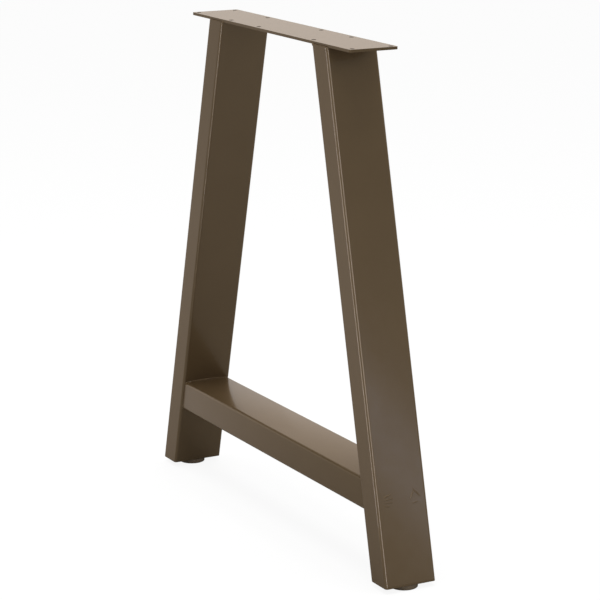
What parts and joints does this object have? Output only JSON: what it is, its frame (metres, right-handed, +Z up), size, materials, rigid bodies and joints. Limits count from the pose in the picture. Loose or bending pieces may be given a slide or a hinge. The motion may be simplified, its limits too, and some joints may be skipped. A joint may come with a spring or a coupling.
{
  "type": "trestle table leg",
  "caption": "A-shaped steel table leg: two leaning rectangular tubes under a drilled top plate, a low crossbar and a low levelling foot under each tube.",
  "frame": {"origin": "on the floor, midway between the two feet", "axes": "+X across the A from the left foot to the right foot, +Y through the frame's depth, +Z up"},
  "size_m": [0.7, 0.0812, 0.732],
  "materials": {
    "coated_tube": "satin bronze-brown powder coat on rolled steel tube",
    "coated_plate": "satin bronze-brown powder coat on flat steel",
    "coated_weld": "satin bronze-brown powder coat over a weld bead",
    "bare_steel": "plain steel",
    "zinc_plated_steel": "bright zinc plating",
    "foot_plastic": "moulded brown plastic"
  },
  "bodies": {
    "frame": {"top_plate": "coated_plate", "left_leg_tube": "coated_tube", "right_leg_tube": "coated_tube", "crossbar": "coated_tube", "left_end_plate": "coated_plate", "right_end_plate": "coated_plate", "left_plate_weld": "coated_weld", "right_plate_weld": "coated_weld", "left_bar_weld_upper": "coated_weld", "left_bar_weld_lower": "coated_weld", "right_bar_weld_upper": "coated_weld", "right_bar_weld_lower": "coated_weld", "left_weld_nut": "bare_steel", "right_weld_nut": "bare_steel"},
    "left_foot": {"left_foot_stud": "zinc_plated_steel", "left_foot_glide": "foot_plastic"},
    "right_foot": {"right_foot_stud": "zinc_plated_steel", "right_foot_glide": "foot_plastic"}
  },
  "joints": [
    {"name": "left_foot_height", "type": "slide", "parent": "frame", "child": "left_foot", "axis": [0, 0, 1], "range_m": [-0.01, 0]},
    {"name": "right_foot_height", "type": "slide", "parent": "frame", "child": "right_foot", "axis": [0, 0, 1], "range_m": [-0.01, 0]}
  ]
}
